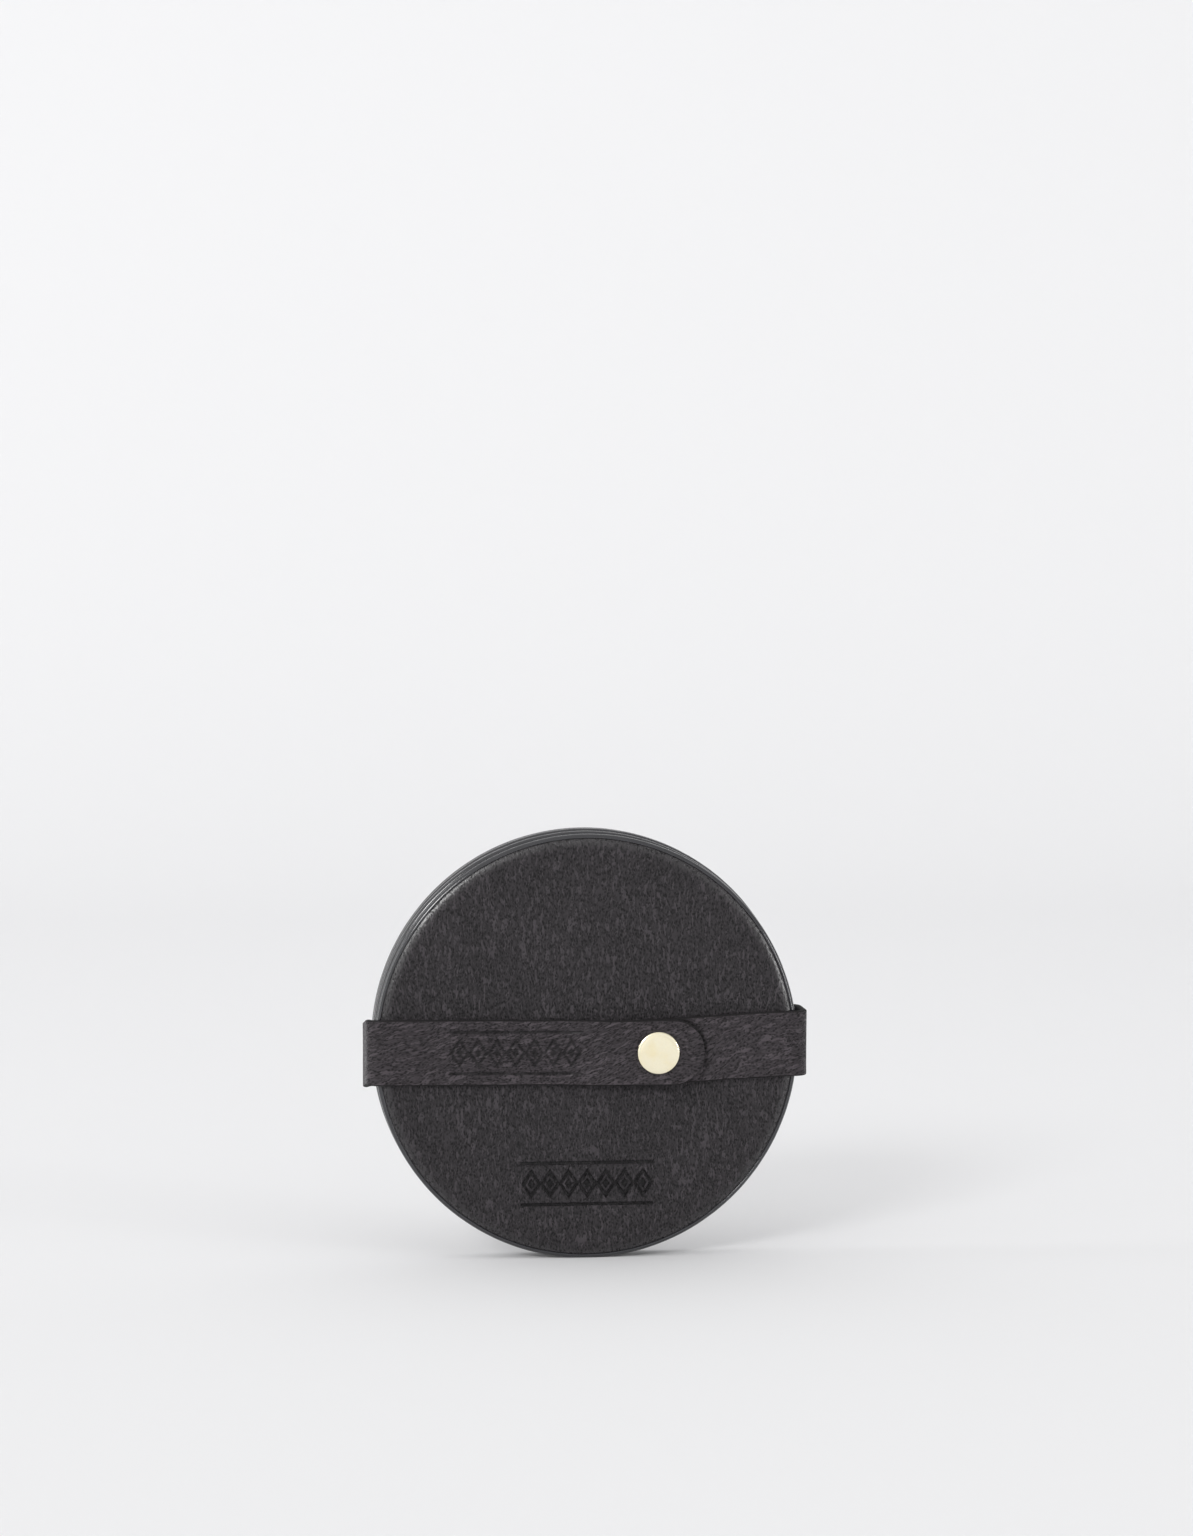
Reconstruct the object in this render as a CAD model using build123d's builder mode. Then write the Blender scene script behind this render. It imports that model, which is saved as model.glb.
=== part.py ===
from build123d import *
import os
from math import sqrt

# A set of round leather coasters that stands on its rim, held together by a leather strap. The strap's two
# ends overlap on the front and close with a press stud. X runs across, the front faces -Y and +Z is up.
# The origin is below the middle of the whole set, on the surface that it stands on. Millimetres.

# Coasters: two leather plies glued back to back, with a painted edge round the rim.
coaster_count = 4
coaster_diameter = 100.0
ply_thickness = 1.4
shoulder_radius = 0.7
edge_coat_thickness = 0.4
edge_coat_rounding = 0.2
coaster_gap = 0.1
rim_flat_length = 8.0

# Strap: one strip of leather, in three stretches that meet at the two front corners.
strap_width = 15.5
strap_thickness = 1.5
strap_drop = 1.2
side_gap = 0.4
back_gap = 0.2
front_gap = 0.3
corner_inner_radius = 1.2
fold_gap = 0.1
fold_lead = 0.3
end_gap = 0.9
outer_tip_x = 27.3
outer_tip_radius = 7.5
inner_tip_x = 5.3
inner_tip_radius = 1.5
ramp_length = 9.0
ramp_lead = 1.0
ramp_radius = 8.0

# Press stud: cap and socket on the outer end, stud and post on the inner end.
snap_x = 16.3
cap_diameter = 10.0
cap_height = 0.9
cap_rounding = 0.4
cap_sink = 0.2
post_radius = 1.3
hole_clearance = 0.1
fit_clearance = 0.05
plate_thickness = 0.3
roll_width = 0.6
roll_height = 0.15
stud_neck_radius = 1.75
stud_head_radius = 1.95
stud_flange_radius = 3.4
stud_height = 1.0
stud_head_height = 0.35
stud_roof = 0.25
post_flange_radius = 3.2
head_clearance = 0.15
bore_clearance = 0.35
spring_wire = 0.5
spring_height = 0.3
spring_lap = 0.1
groove_play = 0.05
socket_wall = 0.75
socket_rim = 0.4
socket_stand = 0.2

# Sizes that follow from the ones above.
coaster_radius = coaster_diameter / 2
ply_radius = coaster_radius - edge_coat_thickness
coaster_thickness = 2 * ply_thickness
edge_coat_width = coaster_thickness - 2 * shoulder_radius
coaster_pitch = coaster_thickness + coaster_gap
stack_depth = coaster_count * coaster_pitch - coaster_gap
centre_height = sqrt(coaster_radius**2 - (rim_flat_length / 2) ** 2)
strap_middle = centre_height - strap_drop
strap_bottom = strap_middle - strap_width / 2

# Places from front to back. The whole depth is centred on the origin.
cap_proud = cap_height - cap_sink
front_depth = cap_proud + strap_thickness + end_gap + strap_thickness + front_gap
total_depth = front_depth + stack_depth + back_gap + strap_thickness
outer_front = -total_depth / 2 + cap_proud
outer_back = outer_front + strap_thickness
inner_front = outer_back + end_gap
inner_back = inner_front + strap_thickness
stack_front = inner_back + front_gap
stack_back = stack_front + stack_depth

# The socket takes its places from the stud that goes into it: head, then rolled post, then floor.
head_rear = inner_front - stud_height + stud_head_height
socket_floor = inner_front - stud_height - head_clearance - roll_height
socket_base = socket_floor - plate_thickness
socket_mouth = inner_front - socket_stand
spring_inner_radius = stud_head_radius + head_clearance
spring_outer_radius = spring_inner_radius + spring_wire
groove_radius = spring_outer_radius + groove_play
groove_front = head_rear - spring_lap
groove_height = spring_height + 2 * groove_play
socket_bore_radius = stud_head_radius + bore_clearance
socket_wall_radius = groove_radius + socket_wall
socket_radius = socket_wall_radius + socket_rim
cap_base = outer_front + cap_sink

# Middle lines of the strap, seen from above.
side_line = coaster_radius + side_gap + strap_thickness / 2
back_line = stack_back + back_gap + strap_thickness / 2
near_line = inner_front + strap_thickness / 2
far_line = outer_front + strap_thickness / 2
corner_radius = corner_inner_radius + strap_thickness / 2
fold_y = near_line + corner_radius + fold_lead
ramp_end_x = inner_tip_x - ramp_lead
ramp_start_x = ramp_end_x - ramp_length


def upright(y):
    """The upright plane at this depth, with its middle at the middle of the discs."""
    return Plane((0, y, centre_height), x_dir=(1, 0, 0), z_dir=(0, -1, 0))


def snap_plane(y):
    """The upright plane at this depth, with its middle on the press stud's axis."""
    return Plane((snap_x, y, strap_middle), x_dir=(1, 0, 0), z_dir=(0, -1, 0))


os.makedirs("parts", exist_ok=True)

# Coasters, numbered from the front. Each outer face has a rounded shoulder, and the painted edge covers the
# square part of the rim between the two shoulders. The rim rests on a short flat.
for number in range(1, coaster_count + 1):
    face_y = stack_front + (number - 1) * coaster_pitch
    middle_y = face_y + ply_thickness
    rear_y = face_y + coaster_thickness

    with BuildPart() as front_ply:
        with BuildSketch(upright(middle_y)):
            Circle(ply_radius)
        extrude(amount=ply_thickness)
        fillet(front_ply.edges().sort_by(Axis.Y)[0], radius=shoulder_radius)
    front_ply.part.label = f"coaster_{number}_front_leather"
    export_step(front_ply.part, f"parts/coaster_{number}_front_leather.step")

    with BuildPart() as back_ply:
        with BuildSketch(upright(rear_y)):
            Circle(ply_radius)
        extrude(amount=ply_thickness)
        fillet(back_ply.edges().sort_by(Axis.Y)[-1], radius=shoulder_radius)
    back_ply.part.label = f"coaster_{number}_back_leather"
    export_step(back_ply.part, f"parts/coaster_{number}_back_leather.step")

    with BuildPart() as painted_edge:
        with BuildSketch(upright(middle_y + edge_coat_width / 2)):
            Circle(coaster_radius)
            Circle(ply_radius, mode=Mode.SUBTRACT)
        extrude(amount=edge_coat_width)
        outer_edges = painted_edge.edges().filter_by(GeomType.CIRCLE).group_by(SortBy.RADIUS)[-1]
        fillet(outer_edges, radius=edge_coat_rounding)
        split(bisect_by=Plane.XY, keep=Keep.TOP)
    painted_edge.part.label = f"coaster_{number}_painted_edge"
    export_step(painted_edge.part, f"parts/coaster_{number}_painted_edge.step")

# Strap, sides and back: a U that goes round the stack from one front corner to the other.
with BuildPart() as strap_back:
    with BuildSketch(Plane.XY.offset(strap_bottom)):
        with BuildLine():
            FilletPolyline(
                (-side_line, fold_y + fold_gap),
                (-side_line, back_line),
                (side_line, back_line),
                (side_line, fold_y + fold_gap),
                radius=corner_radius,
            )
        trace(line_width=strap_thickness)
    extrude(amount=strap_width)
strap_back.part.label = "strap_back"
export_step(strap_back.part, "parts/strap_back.step")

# Strap, outer end: bends round the left front corner, lies on the front coaster, climbs over the inner end
# and stops in a rounded tip. It is let in for the cap at the front and the socket at the back.
with BuildPart() as outer_end:
    with BuildSketch(Plane.XY.offset(strap_bottom)):
        with BuildLine():
            FilletPolyline(
                (-side_line, fold_y),
                (-side_line, near_line),
                (ramp_start_x, near_line),
                (ramp_end_x, far_line),
                (outer_tip_x, far_line),
                radius=[corner_radius, ramp_radius, ramp_radius],
            )
        trace(line_width=strap_thickness)
    extrude(amount=strap_width)
    tip_edges = outer_end.edges().filter_by(Axis.Y).group_by(Axis.X)[-1]
    fillet(tip_edges, radius=outer_tip_radius)
    with BuildSketch(snap_plane(outer_back)):
        Circle(post_radius + hole_clearance)
    extrude(amount=strap_thickness, mode=Mode.SUBTRACT)
    with BuildSketch(snap_plane(outer_front + cap_sink)):
        Circle(cap_diameter / 2 + hole_clearance)
    extrude(amount=cap_sink, mode=Mode.SUBTRACT)
    with BuildSketch(snap_plane(outer_back)):
        Circle(socket_radius + hole_clearance)
    extrude(amount=outer_back - socket_base, mode=Mode.SUBTRACT)
outer_end.part.label = "strap_outer_end"
export_step(outer_end.part, "parts/strap_outer_end.step")

# Strap, inner end: bends round the right front corner and runs under the outer end. It is let in for the
# stud's flange at the front and the post's flange at the back.
with BuildPart() as inner_end:
    with BuildSketch(Plane.XY.offset(strap_bottom)):
        with BuildLine():
            FilletPolyline(
                (side_line, fold_y),
                (side_line, near_line),
                (inner_tip_x, near_line),
                radius=corner_radius,
            )
        trace(line_width=strap_thickness)
    extrude(amount=strap_width)
    tip_edges = inner_end.edges().filter_by(Axis.Y).group_by(Axis.X)[0]
    fillet(tip_edges, radius=inner_tip_radius)
    with BuildSketch(snap_plane(inner_back)):
        Circle(post_radius + hole_clearance)
    extrude(amount=strap_thickness, mode=Mode.SUBTRACT)
    with BuildSketch(snap_plane(inner_front + plate_thickness)):
        Circle(stud_flange_radius + hole_clearance)
    extrude(amount=plate_thickness, mode=Mode.SUBTRACT)
    with BuildSketch(snap_plane(inner_back)):
        Circle(post_flange_radius + hole_clearance)
    extrude(amount=plate_thickness, mode=Mode.SUBTRACT)
inner_end.part.label = "strap_inner_end"
export_step(inner_end.part, "parts/strap_inner_end.step")

# Press-stud cap: a flat dome with a rolled edge, and a post that goes through the leather and is rolled
# over inside the socket.
with BuildPart() as snap_cap:
    with BuildSketch(snap_plane(cap_base)):
        Circle(cap_diameter / 2)
    extrude(amount=cap_height)
    fillet(snap_cap.edges().sort_by(Axis.Y)[0], radius=cap_rounding)
    with BuildSketch(snap_plane(socket_floor)):
        Circle(post_radius)
    extrude(amount=socket_floor - cap_base)
    with BuildSketch(snap_plane(socket_floor + roll_height)):
        Circle(post_radius + roll_width)
    extrude(amount=roll_height)
snap_cap.part.label = "snap_cap"
export_step(snap_cap.part, "parts/snap_cap.step")

# Press-stud socket: a flanged cup, let into the back of the outer end, with a groove for the spring ring.
with BuildPart() as snap_socket:
    with BuildSketch(snap_plane(socket_floor)):
        Circle(socket_radius)
    extrude(amount=plate_thickness)
    with BuildSketch(snap_plane(socket_mouth)):
        Circle(socket_wall_radius)
        Circle(socket_bore_radius, mode=Mode.SUBTRACT)
    extrude(amount=socket_mouth - socket_floor)
    with BuildSketch(snap_plane(groove_front + groove_height)):
        Circle(groove_radius)
    extrude(amount=groove_height, mode=Mode.SUBTRACT)
    with BuildSketch(snap_plane(socket_floor)):
        Circle(post_radius + fit_clearance)
    extrude(amount=plate_thickness, mode=Mode.SUBTRACT)
snap_socket.part.label = "snap_socket"
export_step(snap_socket.part, "parts/snap_socket.step")

# Spring ring: lies in the socket's groove, behind the stud's head when the stud is closed.
with BuildPart() as snap_spring:
    with BuildSketch(snap_plane(groove_front + groove_play + spring_height)):
        Circle(spring_outer_radius)
        Circle(spring_inner_radius, mode=Mode.SUBTRACT)
    extrude(amount=spring_height)
snap_spring.part.label = "snap_spring"
export_step(snap_spring.part, "parts/snap_spring.step")

# Stud: a hollow knob on a flange, let into the front of the inner end.
with BuildPart() as snap_stud:
    with BuildSketch(snap_plane(inner_front + plate_thickness)):
        Circle(stud_flange_radius)
    extrude(amount=plate_thickness)
    with BuildSketch(snap_plane(inner_front)):
        Circle(stud_neck_radius)
    extrude(amount=stud_height)
    with BuildSketch(snap_plane(inner_front - stud_height + stud_head_height)):
        Circle(stud_head_radius)
    extrude(amount=stud_head_height)
    fillet(snap_stud.edges().sort_by(Axis.Y)[0], radius=stud_head_height / 2)
    with BuildSketch(snap_plane(inner_front + plate_thickness)):
        Circle(post_radius + fit_clearance)
    extrude(amount=plate_thickness + stud_height - stud_roof, mode=Mode.SUBTRACT)
snap_stud.part.label = "snap_stud"
export_step(snap_stud.part, "parts/snap_stud.step")

# Post: an eyelet from the back of the inner end that holds the stud on.
post_length = strap_thickness + stud_height - stud_roof - fit_clearance
with BuildPart() as snap_post:
    with BuildSketch(snap_plane(inner_back)):
        Circle(post_flange_radius)
    extrude(amount=plate_thickness)
    with BuildSketch(snap_plane(inner_back)):
        Circle(post_radius)
    extrude(amount=post_length)
snap_post.part.label = "snap_post"
export_step(snap_post.part, "parts/snap_post.step")
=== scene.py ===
from math import cos, exp, hypot, pi, radians, sin, sqrt, tan

import bpy
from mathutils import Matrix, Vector, noise
from mathutils.geometry import delaunay_2d_cdt


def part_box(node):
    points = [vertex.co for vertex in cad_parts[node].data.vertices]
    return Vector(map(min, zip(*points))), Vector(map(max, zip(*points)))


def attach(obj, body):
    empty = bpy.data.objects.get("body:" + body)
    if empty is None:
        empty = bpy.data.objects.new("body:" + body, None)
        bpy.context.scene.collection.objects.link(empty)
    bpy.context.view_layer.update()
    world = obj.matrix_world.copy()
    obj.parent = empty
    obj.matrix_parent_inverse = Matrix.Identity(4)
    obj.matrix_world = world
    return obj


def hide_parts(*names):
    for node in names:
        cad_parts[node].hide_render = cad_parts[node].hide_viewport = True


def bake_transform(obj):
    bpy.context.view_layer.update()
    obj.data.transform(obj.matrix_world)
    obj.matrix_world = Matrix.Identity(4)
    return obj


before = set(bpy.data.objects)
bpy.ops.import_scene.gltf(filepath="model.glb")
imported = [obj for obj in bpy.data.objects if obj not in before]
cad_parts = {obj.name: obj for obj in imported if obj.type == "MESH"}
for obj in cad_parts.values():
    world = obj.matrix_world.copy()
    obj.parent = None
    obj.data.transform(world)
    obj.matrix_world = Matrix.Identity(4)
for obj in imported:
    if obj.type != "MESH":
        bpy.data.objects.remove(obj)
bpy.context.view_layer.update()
mm = 0.001

# Coaster plies. Each coaster is two discs of black leather, glued back to back with the grain side out and
# rolled over to a soft shoulder at the rim, where it is rubbed smooth. The front one carries a small
# blind-stamped ornament below its middle. The coasters behind it sit a little off.
COASTER_OFFSETS = [(0.0, 0.0), (-0.25 * mm, 0.50 * mm), (-0.05 * mm, 0.90 * mm), (0.05 * mm, 0.85 * mm)]
SHOULDER_WIDTH = 3.2 * mm
SHOULDER_DEPTH = 1.35 * mm
SHOULDER_STEPS = 16
RUBBED_RADIUS = 48.5 * mm
RUBBED_WIDTH = 1.0 * mm
RIM_SEGMENTS = 384
FACE_SPACING = 1.6 * mm
FACE_ROW_RATIO = 0.866
FACE_WAVINESS = 0.07 * mm
FACE_WAVE_LENGTH = 14 * mm
FACE_WAVE_FADE = 4 * mm
WELD_DISTANCE = 1e-7
RIM_TOLERANCE = 1e-6
STAMP_SPACING = 0.17 * mm
STAMP_DEPTH = 0.32 * mm
STAMP_SOFTNESS = 0.16 * mm
STAMP_MARGIN = 0.4
STAMP_BELOW_MIDDLE = 32.2 * mm
LOZENGE_COUNT = 7
LOZENGE_PITCH = 4.4 * mm
LOZENGE_WIDTH = 1.95 * mm
LOZENGE_HEIGHT = 2.9 * mm
LOZENGE_CORE = 0.3
LINE_WIDTH = 0.5 * mm
RULE_OFFSET = 4.9 * mm


def soft_line(distance, width, softness):
    """1 on a line of this width, falling smoothly to 0 outside it."""
    t = min(1.0, max(0.0, (abs(distance) - width / 2) / softness))
    return 1 - t * t * (3 - 2 * t)


def ornament(across, up):
    """How deep a point lies in the stamped ornament, 0 to 1: a row of lozenges between two thin rules."""
    half_row = (LOZENGE_COUNT - 1) / 2
    place = max(-half_row, min(half_row, round(across / LOZENGE_PITCH)))
    beside = abs(across - place * LOZENGE_PITCH)
    slant = hypot(1 / LOZENGE_WIDTH, 1 / LOZENGE_HEIGHT)
    reach = beside / LOZENGE_WIDTH + abs(up) / LOZENGE_HEIGHT
    edge = (reach - 1) / slant
    core = max(0.0, (reach - LOZENGE_CORE) / slant)
    overrun = max(0.0, abs(across) - (half_row + 0.5) * LOZENGE_PITCH)
    rule = hypot(abs(up) - RULE_OFFSET, overrun)
    return max(
        soft_line(edge, LINE_WIDTH, STAMP_SOFTNESS),
        soft_line(core, LINE_WIDTH / 2, STAMP_SOFTNESS),
        soft_line(rule, LINE_WIDTH, STAMP_SOFTNESS),
    )


def new_object(name, points, faces, materials, smooth_angle=40):
    """A closed mesh object, smooth except at edges sharper than the angle in degrees."""
    mesh = bpy.data.meshes.new(name)
    mesh.from_pydata(points, [], faces)
    mesh.validate()
    mesh.shade_smooth()
    mesh.set_sharp_from_angle(angle=radians(smooth_angle))
    for material in materials:
        mesh.materials.append(material)
    piece = bpy.data.objects.new(name, mesh)
    bpy.context.scene.collection.objects.link(piece)
    return piece


def store(piece, name, values):
    """Keeps one number for each point of the piece, for its material to read."""
    piece.data.attributes.new(name, "FLOAT", "POINT").data.foreach_set("value", values)


def face_points(radius, stamp_middle):
    """Points over a disc: a ring round its edge, a hexagonal field, and a fine field where it is stamped."""
    points = [
        Vector((radius * cos(2 * pi * i / RIM_SEGMENTS), radius * sin(2 * pi * i / RIM_SEGMENTS)))
        for i in range(RIM_SEGMENTS)
    ]
    half_x = (LOZENGE_COUNT / 2 + STAMP_MARGIN) * LOZENGE_PITCH
    half_z = RULE_OFFSET + 2 * LINE_WIDTH
    rows = int(radius / FACE_SPACING / FACE_ROW_RATIO) + 1
    for row in range(-rows, rows + 1):
        for column in range(-rows, rows + 1):
            across = (column + 0.5 * (row % 2)) * FACE_SPACING
            place = Vector((across, row * FACE_SPACING * FACE_ROW_RATIO))
            off = place - stamp_middle if stamp_middle else place
            stamped = stamp_middle and abs(off.x) < half_x and abs(off.y) < half_z
            if place.length < radius - FACE_SPACING / 2 and not stamped:
                points.append(place)
    if stamp_middle:
        columns, rows = int(half_x / STAMP_SPACING), int(half_z / STAMP_SPACING)
        for row in range(-rows, rows + 1):
            for column in range(-columns, columns + 1):
                points.append(stamp_middle + Vector((column, row)) * STAMP_SPACING)
    return points


def make_ply(node, offset, seed, stamp_middle=None):
    """The leather disc that stands for a coaster ply: face, rolled shoulder, side and glued back."""
    low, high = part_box(node)
    middle_x, middle_z = offset[0], (low.z + high.z) / 2 + offset[1]
    radius = (high.x - low.x) / 2
    faces_front = "front" in node
    face_y, glue_y, inward = (low.y, high.y, 1) if faces_front else (high.y, low.y, -1)
    face_radius = radius - SHOULDER_WIDTH
    field = face_points(face_radius, stamp_middle)
    flat, _, triangles, *_ = delaunay_2d_cdt(field, [], [], 0, WELD_DISTANCE)
    points, rubbed, pressed, rim = [], [], [], [None] * RIM_SEGMENTS
    for index, point in enumerate(flat):
        wave = noise.noise(Vector((point.x, point.y, 0)) / FACE_WAVE_LENGTH + Vector((0, 0, seed)))
        fade = min(1.0, max(0.0, (face_radius - point.length) / FACE_WAVE_FADE))
        mark = ornament(*(point - stamp_middle)) if stamp_middle else 0.0
        depth = (wave + 0.5) * FACE_WAVINESS * fade + STAMP_DEPTH * mark
        points.append((middle_x + point.x, face_y + inward * depth, middle_z + point.y))
        rubbed.append(exp(-(((point.length - RUBBED_RADIUS) / RUBBED_WIDTH) ** 2)))
        pressed.append(mark)
        if point.length > face_radius - RIM_TOLERANCE:
            turn = (Vector((1, 0)).angle_signed(point) * -1) % (2 * pi)
            rim[round(turn / (2 * pi) * RIM_SEGMENTS) % RIM_SEGMENTS] = index
    faces = [list(triangle) if faces_front else list(reversed(triangle)) for triangle in triangles]
    last = rim
    for step in range(1, SHOULDER_STEPS + 2):
        angle = pi / 2 * min(1.0, step / SHOULDER_STEPS)
        ring_radius = face_radius + SHOULDER_WIDTH * sin(angle)
        y = face_y + inward * SHOULDER_DEPTH * (1 - cos(angle)) if step <= SHOULDER_STEPS else glue_y
        first = len(points)
        for i in range(RIM_SEGMENTS):
            turn = 2 * pi * i / RIM_SEGMENTS
            points.append((middle_x + ring_radius * cos(turn), y, middle_z + ring_radius * sin(turn)))
        rubbed += [exp(-(((ring_radius - RUBBED_RADIUS) / RUBBED_WIDTH) ** 2))] * RIM_SEGMENTS
        pressed += [0.0] * RIM_SEGMENTS
        ring = list(range(first, first + RIM_SEGMENTS))
        for i in range(RIM_SEGMENTS):
            j = (i + 1) % RIM_SEGMENTS
            quad = [last[i], ring[i], ring[j], last[j]]
            faces.append(quad if faces_front else quad[::-1])
        last = ring
    faces.append(last if faces_front else last[::-1])
    piece = new_object(node + "_disc", points, faces, [coaster_leather])
    store(piece, "rubbed", rubbed)
    store(piece, "pressed", pressed)
    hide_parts(node)
    return piece


def add(tree, kind, inputs=None, **settings):
    """A new shader node, with its settings, and with its inputs set to values or linked to other sockets."""
    made = tree.nodes.new(kind)
    for name, value in settings.items():
        setattr(made, name, value)
    for name, value in (inputs or {}).items():
        if isinstance(value, bpy.types.NodeSocket):
            tree.links.new(value, made.inputs[name])
        else:
            made.inputs[name].default_value = value
    return made


def ramp(tree, value, low, high, to_low=0.0, to_high=1.0):
    """The value, carried smoothly from one range to another."""
    return add(
        tree,
        "ShaderNodeMapRange",
        {"Value": value, "From Min": low, "From Max": high, "To Min": to_low, "To Max": to_high},
        interpolation_type="SMOOTHSTEP",
    ).outputs[0]


def times(tree, a, b):
    """One value times another."""
    return add(tree, "ShaderNodeMath", {0: a, 1: b}, operation="MULTIPLY").outputs[0]


def blend_colour(tree, factor, first, second):
    """A colour between two others. Each is a plain colour or another socket."""
    mixed = add(tree, "ShaderNodeMix", {"Factor": factor}, data_type="RGBA")
    for socket, colour in ((mixed.inputs[6], first), (mixed.inputs[7], second)):
        if isinstance(colour, bpy.types.NodeSocket):
            tree.links.new(colour, socket)
        else:
            socket.default_value = (*colour, 1)
    return mixed.outputs[2]


def new_group(name, inputs, outputs):
    """An empty shader node group with named inputs and outputs, and its two end nodes."""
    tree = bpy.data.node_groups.new(name, "ShaderNodeTree")
    for direction, sockets in (("INPUT", inputs), ("OUTPUT", outputs)):
        for socket, kind in sockets.items():
            tree.interface.new_socket(socket, in_out=direction, socket_type="NodeSocket" + kind)
    return tree, tree.nodes.new("NodeGroupInput"), tree.nodes.new("NodeGroupOutput")


def new_material(name):
    """A material with a Principled BSDF, and its node tree."""
    material = bpy.data.materials.new(name)
    material.use_nodes = True
    return material, material.node_tree, material.node_tree.nodes["Principled BSDF"]


# Leather grain: wavy creases that run along X, broken up by fine pores. Height is 1 on the skin and falls in
# the creases. It shapes the bump, and it also darkens the colour in creases and pores as painted shade. The
# ridge
# output is a painted highlight: lighter colour on the raised ridges where they would catch the light. Mottle
# is the slow change of tone.
grain, grain_in, grain_out = new_group(
    "leather grain",
    {
        "Vector": "Vector",
        "Crease Scale": "Float",
        "Stretch": "Float",
        "Drift": "Float",
        "Pore Scale": "Float",
    },
    {"Height": "Float", "Painted Highlight": "Float", "Mottle": "Float"},
)


def warped(vector, scale, amount):
    """Coordinates pushed about by a soft noise."""
    push = add(grain, "ShaderNodeTexNoise", {"Vector": vector, "Scale": scale, "Detail": 1.0})
    centred = add(
        grain, "ShaderNodeVectorMath", {0: push.outputs["Color"], 1: (0.5, 0.5, 0.5)}, operation="SUBTRACT"
    )
    swing = add(grain, "ShaderNodeVectorMath", {0: centred.outputs[0], "Scale": amount}, operation="SCALE")
    return add(grain, "ShaderNodeVectorMath", {0: vector, 1: swing.outputs[0]}, operation="ADD").outputs[0]


drifted = warped(grain_in.outputs["Vector"], scale=32.0, amount=grain_in.outputs["Drift"])
waved = warped(drifted, scale=330.0, amount=0.9 * mm)
stretch = add(grain, "ShaderNodeCombineXYZ", {0: grain_in.outputs["Stretch"], 1: 1.0, 2: 1.0})
along = add(grain, "ShaderNodeVectorMath", {0: waved, 1: stretch.outputs[0]}, operation="MULTIPLY").outputs[0]
relief = add(
    grain,
    "ShaderNodeTexNoise",
    {"Vector": along, "Scale": grain_in.outputs["Crease Scale"], "Detail": 3.0, "Roughness": 0.6},
).outputs["Fac"]
off_crease = add(grain, "ShaderNodeMath", {0: relief, 1: 0.5}, operation="SUBTRACT").outputs[0]
from_crease = add(grain, "ShaderNodeMath", {0: off_crease}, operation="ABSOLUTE").outputs[0]
creases = ramp(grain, from_crease, 0.0, 0.11)
pore_place = add(
    grain, "ShaderNodeVectorMath", {0: waved, 1: (0.6, 1.0, 1.0)}, operation="MULTIPLY"
).outputs[0]
pores = add(
    grain, "ShaderNodeTexVoronoi", {"Vector": pore_place, "Scale": grain_in.outputs["Pore Scale"]}
).outputs["Distance"]
patches = add(
    grain, "ShaderNodeTexNoise", {"Vector": drifted, "Scale": 110.0, "Detail": 3.0, "Roughness": 0.6}
).outputs["Fac"]
mottle = add(
    grain, "ShaderNodeTexNoise", {"Vector": drifted, "Scale": 42.0, "Detail": 4.0, "Roughness": 0.6}
).outputs["Fac"]
# Height also sets the leather's colour: darker in the creases and pores, as painted shade.
height = add(
    grain,
    "ShaderNodeMix",
    {"Factor": 0.5, "A": creases, "B": ramp(grain, pores, 0.12, 0.62)},
).outputs[0]
# Painted highlight: lighter colour on the raised ridges, in patches, where they would catch the light.
ridges = ramp(grain, relief, 0.40, 0.72)
painted_highlight = times(
    grain,
    times(grain, ridges, ramp(grain, pores, 0.15, 0.55, 0.25, 1.0)),
    ramp(grain, patches, 0.36, 0.60, 0.6, 1.0),
)
grain.links.new(height, grain_out.inputs["Height"])
grain.links.new(painted_highlight, grain_out.inputs["Painted Highlight"])
grain.links.new(mottle, grain_out.inputs["Mottle"])


PAINTED_HIGHLIGHT_SHARE = 0.45
MOTTLE_SHARE = 0.1
LEATHER_RELIEF = 0.20 * mm
LEATHER_SMOOTH = 0.36
LEATHER_ROUGH = 0.62
LEATHER_SPECULAR = 0.28
RUBBED_COLOUR = (0.016, 0.014, 0.016)
RUBBED_ROUGHNESS = 0.24
RUBBED_RELIEF_LEFT = 0.35
RUBBED_COAT_ROUGHNESS = 0.26
STAMP_AND_SHADOW_SHARE = 0.8
STAMP_AND_SHADOW_DARKNESS = 0.35


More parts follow.
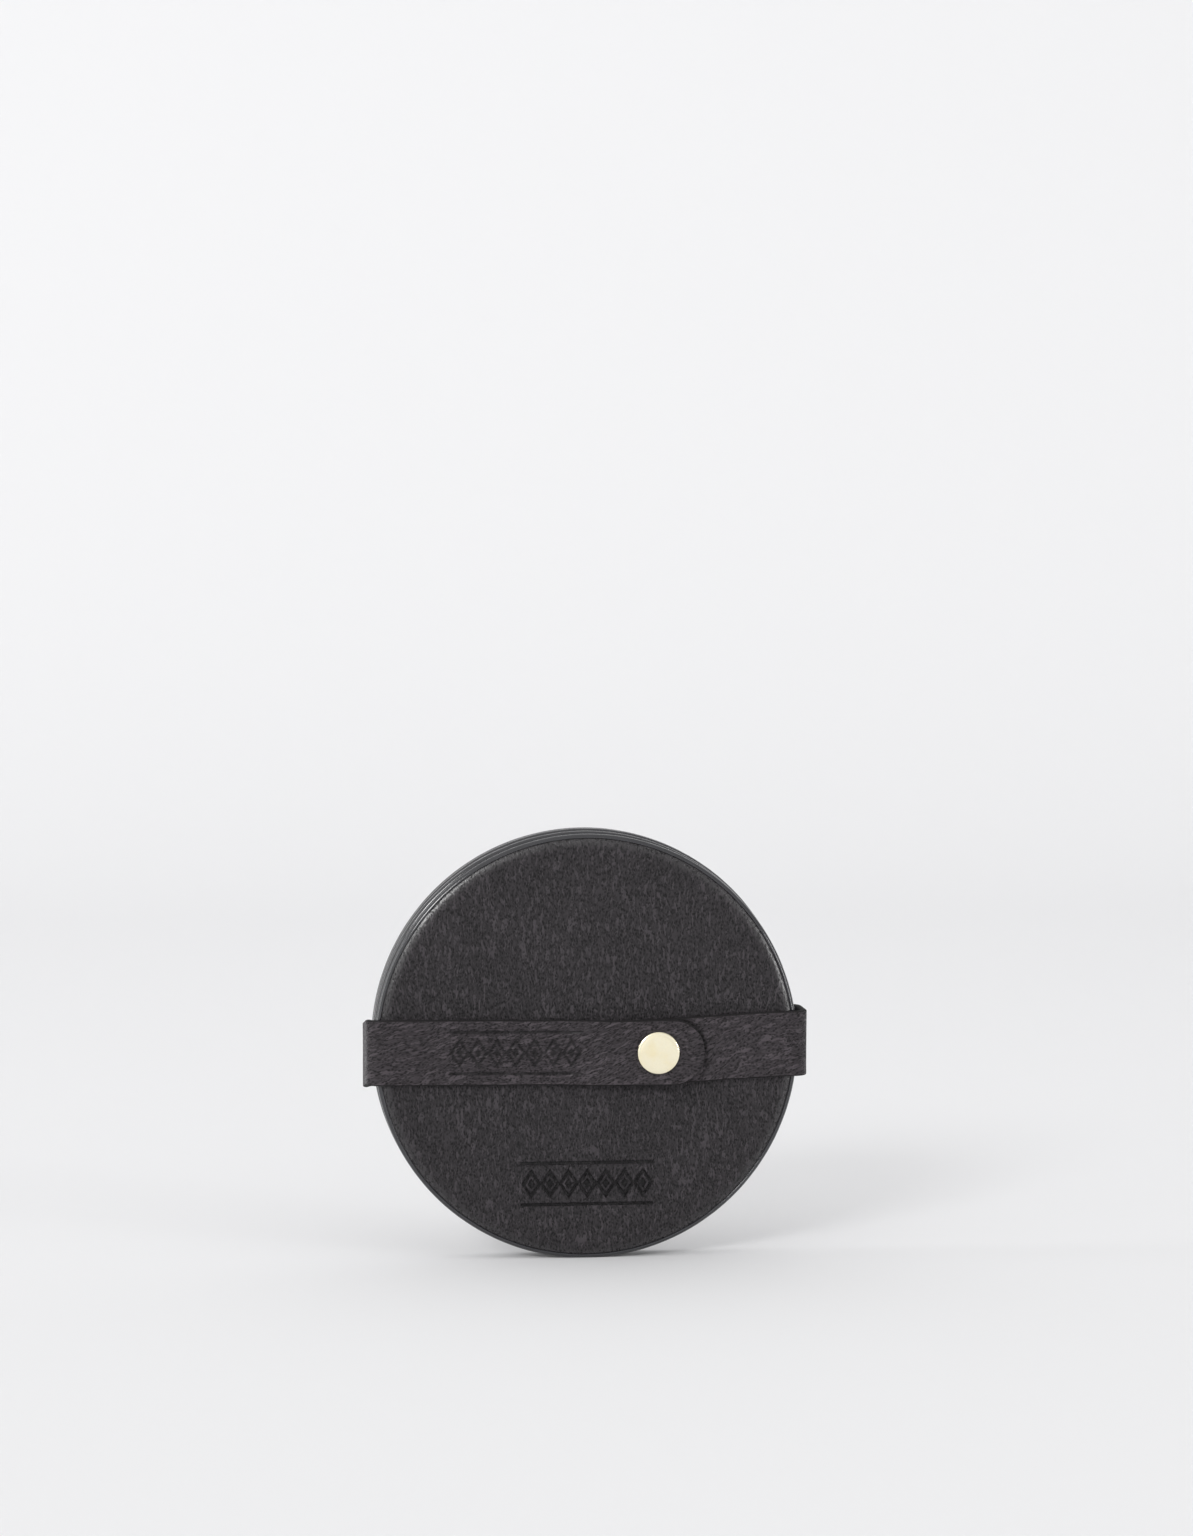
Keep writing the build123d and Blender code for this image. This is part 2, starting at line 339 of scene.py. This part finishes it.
def leather(name, vector_of, grain_values, dark, light):
    """A grained leather, smoother and glossier where it is rubbed, and darker where it is pressed. Its colour
    also holds painted shade in the grain's creases and pores, painted highlights on its ridges, and, on the
    strap's inner end, the painted shadow of the outer end's tip.
    """
    material, tree, shader = new_material(name)
    skin = add(tree, "ShaderNodeGroup", node_tree=grain)
    tree.links.new(vector_of(tree), skin.inputs["Vector"])
    for socket, value in grain_values.items():
        skin.inputs[socket].default_value = value
    rubbed = add(tree, "ShaderNodeAttribute", attribute_name="rubbed").outputs["Fac"]
    # The pressed attribute holds the stamp marks and, on the strap's inner end, the painted shadow of the
    # outer end's tip.
    pressed = add(tree, "ShaderNodeAttribute", attribute_name="pressed").outputs["Fac"]
    # Painted light: the tone mixes the grain's height, darker in creases and pores as painted shade, with
    # painted highlights on the ridges and a little of the leather's own mottle.
    crease_shade_and_ridge_highlight = add(
        tree,
        "ShaderNodeMix",
        {"Factor": PAINTED_HIGHLIGHT_SHARE, "A": skin.outputs["Height"], "B": skin.outputs["Painted Highlight"]},
    )
    grain_tone_and_painted_light = add(
        tree,
        "ShaderNodeMix",
        {"Factor": MOTTLE_SHARE, "A": crease_shade_and_ridge_highlight.outputs[0], "B": skin.outputs["Mottle"]},
    )
    plain = blend_colour(tree, ramp(tree, grain_tone_and_painted_light.outputs[0], 0.0, 0.95), dark, light)
    worn = times(tree, rubbed, ramp(tree, skin.outputs["Height"], 0.55, 1.0))
    aged = blend_colour(tree, worn, plain, RUBBED_COLOUR)
    # Darker where stamped, and darker on the inner end where the outer end's tip shadow is painted.
    stamp_and_shadow_colour = tuple(STAMP_AND_SHADOW_DARKNESS * part for part in dark)
    colour = blend_colour(tree, times(tree, pressed, STAMP_AND_SHADOW_SHARE), aged, stamp_and_shadow_colour)
    rough = ramp(tree, grain_tone_and_painted_light.outputs[0], 0.0, 0.8, LEATHER_ROUGH, LEATHER_SMOOTH)
    rubbed_rough = add(
        tree, "ShaderNodeMix", {"Factor": times(tree, rubbed, 0.9), "A": rough, "B": RUBBED_ROUGHNESS}
    )
    height = times(tree, skin.outputs["Height"], ramp(tree, rubbed, 0.0, 1.0, 1.0, RUBBED_RELIEF_LEFT))
    relief = add(tree, "ShaderNodeBump", {"Height": height, "Strength": 1.0, "Distance": LEATHER_RELIEF})
    tree.links.new(colour, shader.inputs["Base Color"])
    tree.links.new(rubbed_rough.outputs[0], shader.inputs["Roughness"])
    tree.links.new(relief.outputs["Normal"], shader.inputs["Normal"])
    gloss = times(tree, rubbed, ramp(tree, skin.outputs["Height"], 0.25, 0.75, 0.15, 1.0))
    tree.links.new(gloss, shader.inputs["Coat Weight"])
    shader.inputs["Coat Roughness"].default_value = RUBBED_COAT_ROUGHNESS
    shader.inputs["Specular IOR Level"].default_value = LEATHER_SPECULAR
    return material


def upright_grain(tree):
    """Coordinates turned so that the grain's creases run up and down the disc."""
    place = add(tree, "ShaderNodeTexCoord")
    return add(
        tree, "ShaderNodeMapping", {"Vector": place.outputs["Object"], "Rotation": (0.0, pi / 2, 0.0)}
    ).outputs[0]


coaster_leather = leather(
    "coaster leather",
    upright_grain,
    {"Crease Scale": 1350.0, "Stretch": 0.30, "Drift": 2.5 * mm, "Pore Scale": 2000.0},
    dark=(0.0005, 0.0003, 0.0006),
    light=(0.044, 0.038, 0.043),
)

for number, offset in enumerate(COASTER_OFFSETS, 1):
    stamp = Vector((0, -STAMP_BELOW_MIDDLE)) if number == 1 else None
    front = make_ply(f"coaster_{number}_front_leather", offset, seed=number * 7.3, stamp_middle=stamp)
    back = make_ply(f"coaster_{number}_back_leather", offset, seed=number * 7.3 + 3)
    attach(front, f"coaster_{number}")
    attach(back, f"coaster_{number}")

# Painted edges. The rim of each coaster is sealed with several coats of black resin paint, which dries to a
# glossy bead that laps over both shoulders and dips faintly over the glue line. It is put on by hand, so its
# lap line wanders a little.
BEAD_CREST = 0.85 * mm
BEAD_LAP = 0.25 * mm
BEAD_SHOULDER_GAP = 0.26 * mm
BEAD_ROUNDNESS = 2.2
BEAD_FLATNESS = 2.1
BEAD_STEPS = 36
BEAD_DIP = 0.035 * mm
BEAD_DIP_WIDTH = 0.13 * mm
BEAD_WAVINESS = 0.05 * mm
LAP_WAVINESS = 0.12 * mm
PAINT_DARK = (0.010, 0.010, 0.012)
PAINT_LIGHT = (0.022, 0.022, 0.027)
PAINT_SPECULAR = 0.8

edge_paint, edge_tree, edge_shader = new_material("edge paint")
place = add(edge_tree, "ShaderNodeTexCoord")
streaks = add(
    edge_tree, "ShaderNodeTexNoise", {"Vector": place.outputs["Object"], "Scale": 420.0, "Detail": 3.0}
).outputs["Fac"]
edge_relief = add(
    edge_tree, "ShaderNodeBump", {"Height": streaks, "Strength": 0.15, "Distance": 0.03 * mm}
)
edge_colour = blend_colour(edge_tree, streaks, PAINT_DARK, PAINT_LIGHT)
edge_tree.links.new(edge_colour, edge_shader.inputs["Base Color"])
edge_tree.links.new(ramp(edge_tree, streaks, 0.3, 0.7, 0.05, 0.11), edge_shader.inputs["Roughness"])
edge_shader.inputs["Specular IOR Level"].default_value = PAINT_SPECULAR
edge_tree.links.new(edge_relief.outputs["Normal"], edge_shader.inputs["Normal"])


def rounded_power(value, power):
    """The value's size raised to 2 / power, with its sign kept. It squares off a circle's sine or cosine."""
    return (1 if value > 0 else -1) * abs(value) ** (2 / power)


def make_bead(node, offset, seed):
    """The bead of edge paint round one coaster, flattened where it stands."""
    low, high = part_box(node)
    radius = (high.x - low.x) / 2
    middle_z = high.z - radius
    middle_y = (low.y + high.y) / 2
    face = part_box(node.replace("painted_edge", "front_leather"))[0]
    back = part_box(node.replace("painted_edge", "back_leather"))[1]
    half = (back.y - face.y) / 2 - BEAD_SHOULDER_GAP
    points, faces = [], []
    for i in range(RIM_SEGMENTS):
        turn = 2 * pi * i / RIM_SEGMENTS
        around = Vector((9 * cos(turn), 9 * sin(turn), seed))
        uneven = abs(noise.noise(around)) * BEAD_WAVINESS
        wander = noise.noise(around * 1.7) * LAP_WAVINESS
        for step in range(BEAD_STEPS):
            angle = 2 * pi * step / BEAD_STEPS
            c, s = rounded_power(cos(angle), BEAD_ROUNDNESS), rounded_power(sin(angle), BEAD_FLATNESS)
            y = s * half
            if c > 0:
                dip = BEAD_DIP * exp(-((y / BEAD_DIP_WIDTH) ** 2))
                r = radius - BEAD_CREST + BEAD_CREST * c - dip - uneven * c
            else:
                r = radius - BEAD_CREST + (BEAD_LAP + wander) * c
            z = max(0.0, middle_z + r * sin(turn))
            points.append((offset[0] + r * cos(turn), middle_y + y, offset[1] + z))
    for i in range(RIM_SEGMENTS):
        j = (i + 1) % RIM_SEGMENTS
        for step in range(BEAD_STEPS):
            after = (step + 1) % BEAD_STEPS
            faces.append(
                [i * BEAD_STEPS + step, i * BEAD_STEPS + after, j * BEAD_STEPS + after, j * BEAD_STEPS + step]
            )
    piece = new_object(node + "_bead", points, faces, [edge_paint], 60)
    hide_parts(node)
    return piece


for number, offset in enumerate(COASTER_OFFSETS, 1):
    bead = make_bead(f"coaster_{number}_painted_edge", offset, seed=number * 3.1)
    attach(bead, f"coaster_{number}")

# Strap. One strip of the same leather goes round the stack, grain side out, with cut edges. It is made here
# in two halves that meet in the middle of the back. The left half's rounded outer end climbs over the square
# inner end of the right half. The strap sits a little askew, low at the back left.
STRAP_THICKNESS = 1.5 * mm
STRAP_EDGE_ROUNDING = 0.35 * mm
STRAP_WAVINESS = 0.12 * mm
STRAP_WAVE_LENGTH = 14 * mm
STRAP_EDGE_WAVINESS = 0.10 * mm
STRAP_EDGE_WAVE_LENGTH = 9 * mm
LEFT_CORNER_RADIUS = 2.5 * mm
RIGHT_CORNER_RADIUS = 3.0 * mm
RIGHT_BULGE = 0.4 * mm
RAMP_RADIUS = 8 * mm
RAMP_LENGTH = 9 * mm
RAMP_LEAD = 1 * mm
OUTER_TIP_RADIUS = 7.5 * mm
INNER_TIP_RADIUS = 1.5 * mm
STEP_ALONG = 0.3 * mm
STEPS_ACROSS = 64
EDGE_STEPS = 6
STRAP_STAMP_DEPTH = 0.22 * mm
STRAP_STAMP_STRENGTH = 0.9
STRAP_STAMP_MIDDLE = -17 * mm
DIMPLE_DEPTH = 0.2 * mm
DIMPLE_INNER = 5.0 * mm
DIMPLE_OUTER = 7.6 * mm
IMPRINT_AND_SHADOW_WIDTH = 0.7 * mm
BACK_LEFT_RISE = -1.10 * mm
FRONT_LEFT_RISE = 0.46 * mm
FRONT_RIGHT_RISE = 1.45 * mm
BACK_RIGHT_RISE = 1.70 * mm
BACK_MIDDLE_RISE = 0.15 * mm
INNER_TIP_RISE = -0.35 * mm
LEVEL_BEFORE_STUD = 8 * mm
STRAP_GRAIN_SLANT = 17
GRAIN_SLOT, EDGE_SLOT, FLESH_SLOT = 0, 1, 2


def rounded_route(corners, radii, spacing):
    """Places along a line with rounded corners: position, direction and distance from the start."""
    samples, distance = [], 0.0
    position = Vector(corners[0])
    for index in range(1, len(corners)):
        corner = Vector(corners[index])
        heading = (corner - Vector(corners[index - 1])).normalized()
        trim = turn = 0.0
        if index < len(corners) - 1:
            next_heading = (Vector(corners[index + 1]) - corner).normalized()
            turn = -heading.angle_signed(next_heading)
            trim = radii[index - 1] * tan(abs(turn) / 2)
        run = (corner - position).length - trim
        count = max(1, round(run / spacing))
        for i in range(count):
            samples.append((position + heading * run * i / count, heading, distance + run * i / count))
        position, distance = position + heading * run, distance + run
        if turn:
            radius = radii[index - 1]
            side = Vector((-heading.y, heading.x)) * (1 if turn > 0 else -1)
            centre = position + side * radius
            count = max(4, round(abs(turn) * radius / spacing * 2))
            for i in range(count):
                angle = turn * i / count
                c, s = cos(angle), sin(angle)
                arm = position - centre
                spot = centre + Vector((arm.x * c - arm.y * s, arm.x * s + arm.y * c))
                way = Vector((heading.x * c - heading.y * s, heading.x * s + heading.y * c))
                samples.append((spot, way, distance + abs(angle) * radius))
            position = corner + next_heading * trim
            distance += abs(turn) * radius
    samples.append((position, heading, distance))
    return samples


def between(value, stops):
    """The height at a value, smoothly carried between stops of value and height."""
    if value <= stops[0][0]:
        return stops[0][1]
    for (start, first), (end, second) in zip(stops, stops[1:]):
        if value <= end:
            t = (value - start) / (end - start)
            return first + (second - first) * t * t * (3 - 2 * t)
    return stops[-1][1]


def strap_strip(name, route, half_width_at, rise_at, mark_and_shadow_at, seed):
    """A strip of leather swept along a route, with its cut edges slightly rounded."""
    rounding, half_thick = STRAP_EDGE_ROUNDING, STRAP_THICKNESS / 2
    points, strip, pressed, faces, slots = [], [], [], [], []
    for spot, way, distance in route:
        out = Vector((way.y, -way.x))
        edge_wave = noise.noise(Vector((distance / STRAP_EDGE_WAVE_LENGTH, seed, 0))) * STRAP_EDGE_WAVINESS
        half = half_width_at(distance) + edge_wave
        middle = middle_z + rise_at(distance)
        loop = [
            ((2 * step / STEPS_ACROSS - 1) * (half - rounding), half_thick)
            for step in range(STEPS_ACROSS + 1)
        ]
        for step in range(1, EDGE_STEPS):
            angle = pi / EDGE_STEPS * step
            loop.append((half - rounding + rounding * sin(angle), half_thick * cos(angle)))
        loop += [
            ((1 - 4 * step / STEPS_ACROSS) * (half - rounding), -half_thick)
            for step in range(STEPS_ACROSS // 2 + 1)
        ]
        for step in range(1, EDGE_STEPS):
            angle = pi / EDGE_STEPS * step
            loop.append((-half + rounding - rounding * sin(angle), -half_thick * cos(angle)))
        for up, offset in loop:
            wave = noise.noise(Vector((distance, up, seed)) / STRAP_WAVE_LENGTH + Vector((0, 0, seed)))
            # The mark sinks the grain side and is stored for the colour: stamp marks, and on the inner end
            # the tip's groove, whose darkening is painted shadow.
            mark, dimple = mark_and_shadow_at(spot, up) if offset > 0 else (0.0, 0.0)
            sunk = (STRAP_STAMP_DEPTH * mark + dimple) * offset / half_thick if offset > 0 else 0.0
            at = spot + out * (offset + wave * STRAP_WAVINESS - sunk)
            points.append((at.x, at.y, middle + up))
            strip.append((distance, offset, up))
            pressed.append(mark)
    size = len(points) // len(route)
    back_first, back_last = STEPS_ACROSS + EDGE_STEPS, size - EDGE_STEPS
    for i in range(len(route) - 1):
        for k in range(size):
            after = (k + 1) % size
            faces.append([i * size + k, (i + 1) * size + k, (i + 1) * size + after, i * size + after])
            hidden_slot = FLESH_SLOT if back_first <= k < back_last else EDGE_SLOT
            slots.append(GRAIN_SLOT if k < STEPS_ACROSS else hidden_slot)
    faces.append(list(range(size)))
    faces.append([(len(route) - 1) * size + k for k in reversed(range(size))])
    slots += [EDGE_SLOT, EDGE_SLOT]
    piece = new_object(name, points, faces, [strap_leather, cut_edge, flesh_side], 50)
    piece.data.polygons.foreach_set("material_index", slots)
    stored = piece.data.attributes.new("strip", "FLOAT_VECTOR", "POINT")
    for value, item in zip(strip, stored.data):
        item.vector = value
    store(piece, "pressed", pressed)
    return piece


def strip_grain(tree):
    """Coordinates along the strip, turned so that the creases flow at a slant along it."""
    place = add(tree, "ShaderNodeAttribute", attribute_name="strip")
    return add(
        tree,
        "ShaderNodeMapping",
        {"Vector": place.outputs["Vector"], "Rotation": (0.0, radians(STRAP_GRAIN_SLANT), 0.0)},
    ).outputs[0]


strap_leather = leather(
    "strap leather",
    strip_grain,
    {"Crease Scale": 1200.0, "Stretch": 0.22, "Drift": 9.0 * mm, "Pore Scale": 2000.0},
    dark=(0.002, 0.0009, 0.0017),
    light=(0.060, 0.050, 0.057),
)


def fibre_material(name, dark, light, roughness, scale):
    """Bare leather fibre, for cut edges and the flesh side."""
    material, tree, shader = new_material(name)
    place = add(tree, "ShaderNodeAttribute", attribute_name="strip")
    fibres = add(
        tree, "ShaderNodeTexNoise", {"Vector": place.outputs["Vector"], "Scale": scale, "Detail": 5.0}
    ).outputs["Fac"]
    relief = add(tree, "ShaderNodeBump", {"Height": fibres, "Strength": 0.8, "Distance": 0.2 * mm})
    tree.links.new(blend_colour(tree, fibres, dark, light), shader.inputs["Base Color"])
    tree.links.new(relief.outputs["Normal"], shader.inputs["Normal"])
    shader.inputs["Roughness"].default_value = roughness
    shader.inputs["Specular IOR Level"].default_value = 0.3
    return material


cut_edge = fibre_material("strap cut edge", (0.003, 0.0025, 0.003), (0.016, 0.014, 0.015), 0.8, 1800.0)
flesh_side = fibre_material("strap flesh side", (0.016, 0.014, 0.014), (0.050, 0.045, 0.044), 0.9, 1500.0)

back_low, back_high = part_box("strap_back")
outer_low, outer_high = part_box("strap_outer_end")
inner_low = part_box("strap_inner_end")[0]
cap_low, cap_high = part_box("snap_cap")
half_thick = STRAP_THICKNESS / 2
side_x = back_high.x - half_thick
back_y = back_high.y - half_thick
near_y = inner_low.y + half_thick
far_y = outer_low.y + half_thick
middle_z = (back_low.z + back_high.z) / 2
strap_half_width = (back_high.z - back_low.z) / 2
ramp_end_x = inner_low.x - RAMP_LEAD
ramp_start_x = ramp_end_x - RAMP_LENGTH
snap_x = (cap_low.x + cap_high.x) / 2
snap_z = (cap_low.z + cap_high.z) / 2

left_route = rounded_route(
    [
        (0, back_y),
        (-side_x, back_y),
        (-side_x, near_y),
        (ramp_start_x, near_y),
        (ramp_end_x, far_y),
        (outer_high.x, far_y),
    ],
    [LEFT_CORNER_RADIUS, LEFT_CORNER_RADIUS, RAMP_RADIUS, RAMP_RADIUS],
    STEP_ALONG,
)
right_x = side_x + RIGHT_BULGE
right_route = rounded_route(
    [(inner_low.x, near_y), (right_x, near_y), (right_x, back_y), (0, back_y)],
    [RIGHT_CORNER_RADIUS, RIGHT_CORNER_RADIUS],
    STEP_ALONG,
)
left_length = left_route[-1][2]
leg = back_y - near_y
left_rises = [
    (0.0, BACK_MIDDLE_RISE),
    (side_x, BACK_LEFT_RISE),
    (side_x + leg - LEFT_CORNER_RADIUS, FRONT_LEFT_RISE),
    (left_length - (outer_high.x - snap_x) - LEVEL_BEFORE_STUD, 0.0),
]
front_run = right_x - inner_low.x
right_rises = [
    (0.0, INNER_TIP_RISE),
    (front_run, FRONT_RIGHT_RISE),
    (front_run + leg, BACK_RIGHT_RISE),
    (right_route[-1][2], BACK_MIDDLE_RISE),
]


def tip_half_width(from_tip, tip_radius):
    """Half the strip's width at this distance from a tip with rounded corners."""
    inset = max(0.0, tip_radius - from_tip)
    return strap_half_width - tip_radius + sqrt(max(0.0, tip_radius**2 - inset**2))


def front_marks(spot, up):
    """The strap's own ornament and the dimple that the cap makes, on the front of the left half."""
    if spot.y > near_y + half_thick:
        return 0.0, 0.0
    from_cap = hypot(spot.x - snap_x, up)
    dimple = DIMPLE_DEPTH * (1 - between(from_cap, [(DIMPLE_INNER, 0.0), (DIMPLE_OUTER, 1.0)]))
    return STRAP_STAMP_STRENGTH * ornament(spot.x - STRAP_STAMP_MIDDLE, up), dimple


def tip_imprint_and_shadow(spot, up):
    """A shallow groove that the outer end's tip presses into the inner end below it. Its darkening is painted
    shadow, standing for the shadow that the tip casts there.
    """
    beyond = spot.x - (outer_high.x - OUTER_TIP_RADIUS)
    if spot.y > near_y + half_thick or beyond < 0:
        return 0.0, 0.0
    from_tip = hypot(beyond, up) - OUTER_TIP_RADIUS
    return exp(-((max(0.0, from_tip) / IMPRINT_AND_SHADOW_WIDTH) ** 2)), 0.0


left_strap = strap_strip(
    "strap_left_half",
    left_route,
    lambda s: tip_half_width(left_length - s, OUTER_TIP_RADIUS),
    lambda s: between(s, left_rises),
    front_marks,
    seed=1.7,
)
right_strap = strap_strip(
    "strap_right_half",
    right_route,
    lambda s: tip_half_width(s, INNER_TIP_RADIUS),
    lambda s: between(s, right_rises),
    tip_imprint_and_shadow,
    seed=4.2,
)
for piece, body in ((left_strap, "outer_end"), (right_strap, "inner_end")):
    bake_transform(piece)
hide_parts("strap_back", "strap_outer_end")
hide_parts("strap_inner_end")

# Press stud. The cap is a shallow brass dome with a rolled edge that nips the leather. Its socket is on the
# back of the outer end, with a steel spring in it. The stud that it closes on is on the inner end, held by an
# eyelet from behind.
LATHE_SEGMENTS = 128
# From the cap's middle outwards and back: shares of its radius, and depths behind its front in millimetres.
CAP_OUTLINE = [
    (0.0005, 0.00),
    (0.30, 0.01),
    (0.55, 0.03),
    (0.74, 0.06),
    (0.82, 0.09),
    (0.855, 0.13),
    (0.875, 0.145),
    (0.90, 0.135),
    (0.94, 0.16),
    (0.975, 0.26),
    (0.995, 0.42),
    (1.00, 0.56),
    (0.985, 0.74),
    (0.95, 0.86),
    (0.88, 0.90),
    (0.0005, 0.90),
]


def metal(name, dull, bright, roughness):
    """A turned or pressed metal with faint scratches."""
    material, tree, shader = new_material(name)
    place = add(tree, "ShaderNodeTexCoord")
    scratches = add(
        tree,
        "ShaderNodeTexNoise",
        {"Vector": place.outputs["Object"], "Scale": 900.0, "Detail": 4.0, "Roughness": 0.7},
    ).outputs["Fac"]
    clouds = add(
        tree, "ShaderNodeTexNoise", {"Vector": place.outputs["Object"], "Scale": 240.0, "Detail": 2.0}
    ).outputs["Fac"]
    relief = add(tree, "ShaderNodeBump", {"Height": scratches, "Strength": 0.3, "Distance": 0.02 * mm})
    colour = blend_colour(tree, ramp(tree, clouds, 0.25, 0.55), dull, bright)
    tree.links.new(colour, shader.inputs["Base Color"])
    tree.links.new(ramp(tree, scratches, 0.35, 0.65, *roughness), shader.inputs["Roughness"])
    tree.links.new(relief.outputs["Normal"], shader.inputs["Normal"])
    shader.inputs["Metallic"].default_value = 1.0
    return material


brass = metal("brass", (0.98, 0.88, 0.60), (1.0, 0.93, 0.71), (0.12, 0.24))
spring_steel = metal("spring steel", (0.50, 0.50, 0.52), (0.66, 0.66, 0.68), (0.22, 0.36))

cap_radius = (cap_high.x - cap_low.x) / 2
points, faces = [], []
rows = len(CAP_OUTLINE)
for i in range(LATHE_SEGMENTS):
    turn = 2 * pi * i / LATHE_SEGMENTS
    for reach, depth in CAP_OUTLINE:
        r = reach * cap_radius
        points.append((snap_x + r * cos(turn), cap_low.y + depth * mm, snap_z + r * sin(turn)))
for i in range(LATHE_SEGMENTS):
    j = (i + 1) % LATHE_SEGMENTS
    for k in range(rows - 1):
        faces.append([i * rows + k, i * rows + k + 1, j * rows + k + 1, j * rows + k])
faces.append([i * rows for i in range(LATHE_SEGMENTS)])
faces.append([i * rows + rows - 1 for i in reversed(range(LATHE_SEGMENTS))])
cap = new_object("snap_cap_dome", points, faces, [brass], 50)
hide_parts("snap_cap")
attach(cap, "outer_end")

for node, finish in (
    ("snap_socket", brass),
    ("snap_stud", brass),
    ("snap_post", brass),
    ("snap_spring", spring_steel),
):
    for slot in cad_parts[node].material_slots:
        slot.material = finish

# Floor and backdrop: one pale sheet of paper that sweeps up behind, in a white surround that is brighter at
# the left and a little darker overhead. A big soft light stands far off at the front left, a tall narrow one
# at the left, and a small one at the front right.
FLOOR_REACH = 3.0
SWEEP_START = 0.9
SWEEP_RADIUS = 0.9
WALL_HEIGHT = 3.0
SWEEP_STEPS = 24
# Paper colours: the back's is the paper's own. The front's and the top's are darker, as painted shade.
PAPER_FRONT_PAINTED_SHADE = (0.815, 0.815, 0.823)
PAPER_BACK = (0.85, 0.85, 0.86)
PAPER_TOP_PAINTED_SHADE = (0.80, 0.80, 0.808)
SURROUND_LEFT = 1.25
SURROUND_RIGHT = 0.75
LEVEL_WHITE = (0.92, 0.92, 0.92)
OVERHEAD_GREY = (0.80, 0.80, 0.80)

paper, paper_tree, paper_shader = new_material("paper sweep")
place = add(paper_tree, "ShaderNodeTexCoord")
axes = add(paper_tree, "ShaderNodeSeparateXYZ", {"Vector": place.outputs["Object"]})
# Painted shade: the paper is darker towards the front and darker up the wall, standing in for the fall of
# light across the sweep.
floor_painted_falloff = blend_colour(paper_tree, ramp(paper_tree, axes.outputs["Y"], -0.5, 0.4), PAPER_FRONT_PAINTED_SHADE, PAPER_BACK)
paper_tree.links.new(
    blend_colour(paper_tree, ramp(paper_tree, axes.outputs["Z"], 0.0, 1.2), floor_painted_falloff, PAPER_TOP_PAINTED_SHADE),
    paper_shader.inputs["Base Color"],
)
paper_shader.inputs["Roughness"].default_value = 0.9
paper_shader.inputs["Specular IOR Level"].default_value = 0.1

profile = [(-FLOOR_REACH, 0.0), (SWEEP_START, 0.0)]
for step in range(1, SWEEP_STEPS + 1):
    angle = pi / 2 * step / SWEEP_STEPS
    profile.append((SWEEP_START + SWEEP_RADIUS * sin(angle), SWEEP_RADIUS * (1 - cos(angle))))
profile.append((SWEEP_START + SWEEP_RADIUS, WALL_HEIGHT))
points = [(x, y, z) for x in (-FLOOR_REACH, FLOOR_REACH) for y, z in profile]
count = len(profile)
faces = [[i, count + i, count + i + 1, i + 1] for i in range(count - 1)]
sweep = new_object("paper_sweep", points, faces, [paper], 60)

world = bpy.data.worlds.new("studio")
bpy.context.scene.world = world
world.use_nodes = True
sky_place = add(world.node_tree, "ShaderNodeTexCoord")
sky_axes = add(world.node_tree, "ShaderNodeSeparateXYZ", {"Vector": sky_place.outputs["Generated"]})
overhead = ramp(world.node_tree, sky_axes.outputs["Z"], 0.15, 0.8)
world.node_tree.links.new(
    blend_colour(world.node_tree, overhead, LEVEL_WHITE, OVERHEAD_GREY),
    world.node_tree.nodes["Background"].inputs["Color"],
)
world.node_tree.links.new(
    ramp(world.node_tree, sky_axes.outputs["X"], -1.0, 1.0, SURROUND_LEFT, SURROUND_RIGHT),
    world.node_tree.nodes["Background"].inputs["Strength"],
)


def direction(azimuth, elevation):
    """The way towards a place seen from the set at these angles, in degrees. Azimuth 0 is the front."""
    a, e = radians(azimuth), radians(elevation)
    return Vector((sin(a) * cos(e), -cos(a) * cos(e), sin(e)))


def soft_light(name, azimuth, elevation, distance, width, height, watts):
    """A rectangular soft light that points at the set."""
    light = bpy.data.lights.new(name, "AREA")
    light.shape = "RECTANGLE"
    light.size, light.size_y, light.energy = width, height, watts
    holder = bpy.data.objects.new(name, light)
    holder.location = Vector((0, 0, 0.05)) + direction(azimuth, elevation) * distance
    holder.rotation_mode = "QUATERNION"
    holder.rotation_quaternion = direction(azimuth, elevation).to_track_quat("Z", "Y")
    bpy.context.scene.collection.objects.link(holder)


soft_light("key", azimuth=-29, elevation=24, distance=5.0, width=1.4, height=1.0, watts=80.0)
soft_light("left", azimuth=-95, elevation=15, distance=2.0, width=0.3, height=1.0, watts=5.5)
soft_light("side", azimuth=48, elevation=7, distance=1.5, width=0.18, height=0.4, watts=3.2)

# Camera: a long lens, a little above the set and to its left. It aims above the set's middle, so that the set
# stands low in the view.
CAMERA_AZIMUTH = -7.0
CAMERA_ELEVATION = 6.5
CAMERA_DISTANCE = 1.25
LENS = 124.8
SENSOR = 36.0
AIM_UP = 2.99
AIM_RIGHT = 0.104

camera = bpy.data.cameras.new("camera")
camera.lens, camera.sensor_width = LENS, SENSOR
camera.clip_end = 20
camera_object = bpy.data.objects.new("camera", camera)
bpy.context.scene.collection.objects.link(camera_object)
front_low, front_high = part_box("coaster_1_painted_edge")
target = Vector((0, front_low.y, (front_low.z + front_high.z) / 2))
camera_object.location = target + direction(CAMERA_AZIMUTH, CAMERA_ELEVATION) * CAMERA_DISTANCE
camera_object.rotation_euler = (
    radians(90 - CAMERA_ELEVATION + AIM_UP),
    0,
    radians(CAMERA_AZIMUTH - AIM_RIGHT),
)
bpy.context.scene.camera = camera_object
bpy.context.scene.view_settings.view_transform = "Standard"
